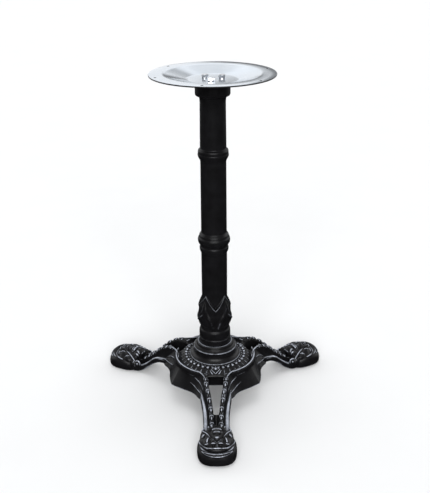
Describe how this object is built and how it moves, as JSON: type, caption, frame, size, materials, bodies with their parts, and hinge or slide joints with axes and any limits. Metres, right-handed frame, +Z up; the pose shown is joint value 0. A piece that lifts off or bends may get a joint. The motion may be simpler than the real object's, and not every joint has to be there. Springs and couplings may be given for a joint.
{
  "type": "pedestal table base",
  "caption": "Free-standing cast iron pedestal base: dished top plate, turned column, rayed beaded legs with paw feet and screw levellers.",
  "frame": {"origin": "on the column's axis, at the height of the floor that the three levelling pads stand on", "axes": "+Z up along the column; one leg points along -Y, the other two along 30 and 150 degrees from +X"},
  "size_m": [0.5054, 0.4467, 0.72],
  "materials": {
    "black_cast_iron": "semi-gloss black paint over cast iron, silver-grey where the raised edges are worn",
    "zinc_plate": "pale zinc-plated steel above, black edge and underside",
    "bright_zinc": "bright zinc plate",
    "leveller_plastic": "matte black nylon"
  },
  "bodies": {
    "base": {"base_casting": "black_cast_iron", "column_casting": "black_cast_iron", "top_plate": "zinc_plate", "top_washer_1": "bright_zinc", "top_washer_2": "bright_zinc", "top_washer_3": "bright_zinc", "top_bolt_1": "bright_zinc", "top_bolt_2": "bright_zinc", "top_bolt_3": "bright_zinc", "base_washer_1": "bright_zinc", "base_washer_2": "bright_zinc", "base_washer_3": "bright_zinc", "base_bolt_1": "bright_zinc", "base_bolt_2": "bright_zinc", "base_bolt_3": "bright_zinc"},
    "pad_1": {"leveller_pad_1": "leveller_plastic"},
    "stud_1": {"leveller_stud_1": "bright_zinc"},
    "pad_2": {"leveller_pad_2": "leveller_plastic"},
    "stud_2": {"leveller_stud_2": "bright_zinc"},
    "pad_3": {"leveller_pad_3": "leveller_plastic"},
    "stud_3": {"leveller_stud_3": "bright_zinc"}
  },
  "joints": [
    {"name": "leveller_1_travel", "type": "slide", "parent": "base", "child": "pad_1", "axis": [0, 0, -1], "range_m": [0, 0.01]},
    {"name": "leveller_1_turn", "type": "hinge", "parent": "pad_1", "child": "stud_1", "pos_m": [0, -0.232, 0.008], "axis": [0, 0, -1], "range_deg": [0, 2880]},
    {"name": "leveller_2_travel", "type": "slide", "parent": "base", "child": "pad_2", "axis": [0, 0, -1], "range_m": [0, 0.01]},
    {"name": "leveller_2_turn", "type": "hinge", "parent": "pad_2", "child": "stud_2", "pos_m": [0.20092, 0.116, 0.008], "axis": [0, 0, -1], "range_deg": [0, 2880]},
    {"name": "leveller_3_travel", "type": "slide", "parent": "base", "child": "pad_3", "axis": [0, 0, -1], "range_m": [0, 0.01]},
    {"name": "leveller_3_turn", "type": "hinge", "parent": "pad_3", "child": "stud_3", "pos_m": [-0.20092, 0.116, 0.008], "axis": [0, 0, -1], "range_deg": [0, 2880]}
  ],
  "couplings": [
    {"joint": "leveller_1_turn", "follows": "leveller_1_travel", "rad_per_m": 5026.5},
    {"joint": "leveller_2_turn", "follows": "leveller_2_travel", "rad_per_m": 5026.5},
    {"joint": "leveller_3_turn", "follows": "leveller_3_travel", "rad_per_m": 5026.5}
  ]
}
